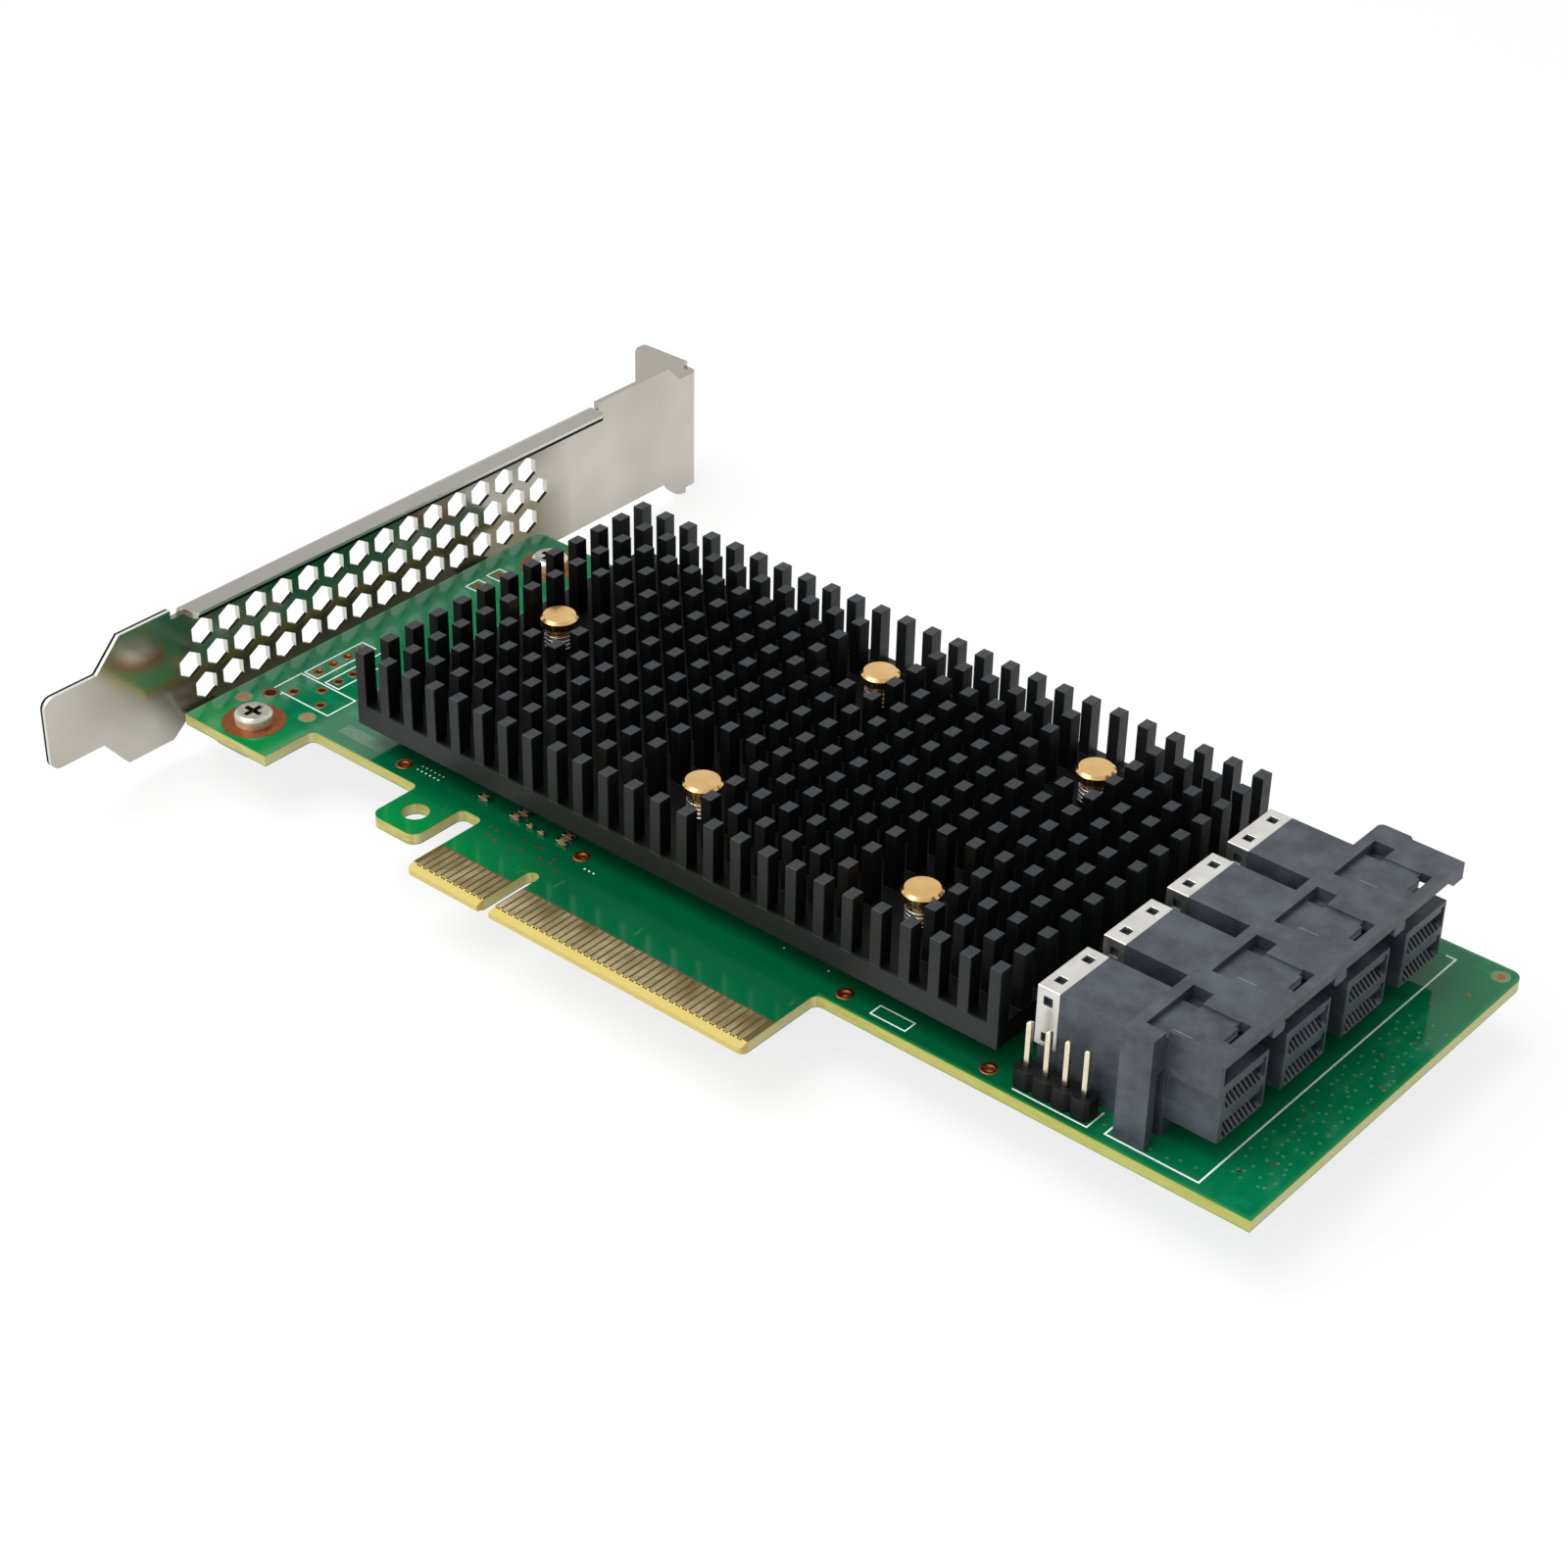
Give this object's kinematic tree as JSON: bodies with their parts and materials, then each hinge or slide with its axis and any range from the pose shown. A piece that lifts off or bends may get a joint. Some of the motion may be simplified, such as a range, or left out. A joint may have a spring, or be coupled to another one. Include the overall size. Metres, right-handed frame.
{
  "type": "host bus adapter",
  "caption": "Low expansion card with a slotted bracket, a pin heat sink on sprung pins, an edge connector and internal storage cable ports.",
  "frame": {"origin": "bottom centre of the whole card as it lies on its solder side", "axes": "+X from the bracket along the card to the cable ports, +Y away from the edge contacts, +Z out of the component side"},
  "size_m": [0.1706, 0.12, 0.0234],
  "materials": {
    "board": "glossy green solder mask over glass-epoxy laminate",
    "gold": "thin gold plating",
    "copper": "bare copper",
    "nickel": "nickel-plated sheet steel",
    "screw_steel": "zinc-plated steel",
    "black_anodised": "black anodised, satin",
    "ceramic_grey": "chip substrate",
    "bare_lid": "nickel-plated copper lid",
    "pad_grey": "soft thermal pad",
    "brass": "turned brass",
    "spring_steel": "drawn spring wire",
    "dark_plastic": "dark grey moulded plastic",
    "clip_steel": "tinned sheet steel",
    "black_plastic": "black moulded plastic",
    "tan_ceramic": "chip capacitor ceramic",
    "solder": "tinned ends"
  },
  "bodies": {
    "root": {"circuit_board": "board", "edge_contacts_top": "gold", "edge_contacts_bottom": "gold", "bracket": "nickel", "bracket_screws": "screw_steel", "ground_rings": "copper", "heat_sink": "black_anodised", "controller_substrate": "ceramic_grey", "controller_lid": "bare_lid", "thermal_pad": "pad_grey", "push_pins": "brass", "push_pin_springs": "spring_steel", "connector_housing": "dark_plastic", "header_base": "black_plastic", "header_pins": "gold", "chip_bodies": "tan_ceramic", "chip_terminals": "solder", "port_insert_1": "dark_plastic", "port_contacts_1": "gold", "rear_clip_1": "clip_steel", "port_insert_2": "dark_plastic", "port_contacts_2": "gold", "rear_clip_2": "clip_steel", "port_insert_3": "dark_plastic", "port_contacts_3": "gold", "rear_clip_3": "clip_steel", "port_insert_4": "dark_plastic", "port_contacts_4": "gold", "rear_clip_4": "clip_steel"}
  },
  "joints": []
}
